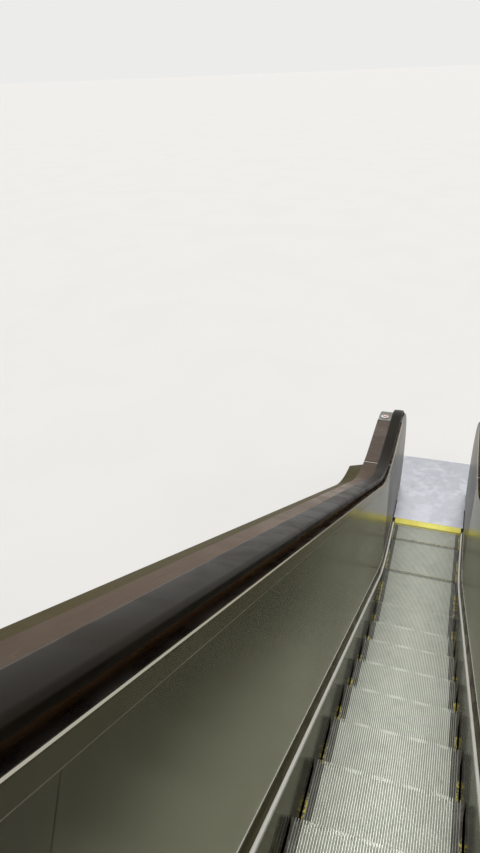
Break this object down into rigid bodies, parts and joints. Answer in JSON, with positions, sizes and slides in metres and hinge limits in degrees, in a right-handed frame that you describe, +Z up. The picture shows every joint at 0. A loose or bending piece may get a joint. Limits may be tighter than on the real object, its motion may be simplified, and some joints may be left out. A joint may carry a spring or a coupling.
{
  "type": "escalator",
  "caption": "Narrow indoor escalator with solid stainless balustrades, cleated steps, yellow combs and black handrails, from lower to upper landing.",
  "frame": {"origin": "on the ground, on the centre line, below the tips of the lower comb's teeth", "axes": "+Z up, +Y horizontally uphill from the lower to the upper landing, +X to the right of someone who faces uphill"},
  "size_m": [1.2, 10.4526, 4.4925],
  "materials": {
    "galvanised_steel": "dull galvanised sheet",
    "floor_plate": "satin stainless floor plate",
    "comb_yellow": "worn yellow plastic",
    "step_metal": "worn die-cast aluminium",
    "dark_steel": "grey primer",
    "skirt_steel": "dark low-friction coating, glossy",
    "bright_trim": "bright satin trim",
    "inner_deck": "dark satin",
    "panel_steel": "brushed stainless",
    "deck_steel": "dark polished",
    "ledge_steel": "polished stainless",
    "handrail_rubber": "smooth glossy black",
    "guide_steel": "plain",
    "inlet_rubber": "matt black",
    "collar_white": "gloss white",
    "button_red": "gloss red",
    "cladding_steel": "brushed stainless"
  },
  "bodies": {
    "root": {"base_pan": "galvanised_steel", "lower_landing_plate": "floor_plate", "lower_comb_plate": "floor_plate", "lower_combs": "comb_yellow", "upper_floor_frame": "galvanised_steel", "upper_landing_plate": "floor_plate", "upper_comb_plate": "floor_plate", "upper_combs": "comb_yellow", "lower_steps": "step_metal", "incline_steps_low": "step_metal", "incline_steps_high": "step_metal", "upper_steps": "step_metal", "step_tracks": "dark_steel", "truss_frames": "dark_steel", "skirt_left": "skirt_steel", "skirt_right": "skirt_steel", "skirt_trim_left": "bright_trim", "skirt_trim_right": "bright_trim", "inner_deck_left": "inner_deck", "inner_deck_right": "inner_deck", "inner_panels_left": "panel_steel", "inner_panels_right": "panel_steel", "top_trim_left": "bright_trim", "top_trim_right": "bright_trim", "outer_deck_left": "deck_steel", "outer_deck_right": "deck_steel", "outer_ledge_left": "ledge_steel", "outer_ledge_right": "ledge_steel", "handrail_guide_left": "guide_steel", "handrail_guide_right": "guide_steel", "handrail_left": "handrail_rubber", "handrail_right": "handrail_rubber", "lower_newel_left": "panel_steel", "lower_newel_right": "panel_steel", "upper_newel_left": "panel_steel", "upper_newel_right": "panel_steel", "handrail_inlets": "inlet_rubber", "stop_collars": "collar_white", "stop_buttons": "button_red", "cladding_left": "cladding_steel", "cladding_right": "cladding_steel", "soffit": "cladding_steel", "upper_end_plate": "galvanised_steel", "upper_bearing": "dark_steel"}
  },
  "joints": []
}
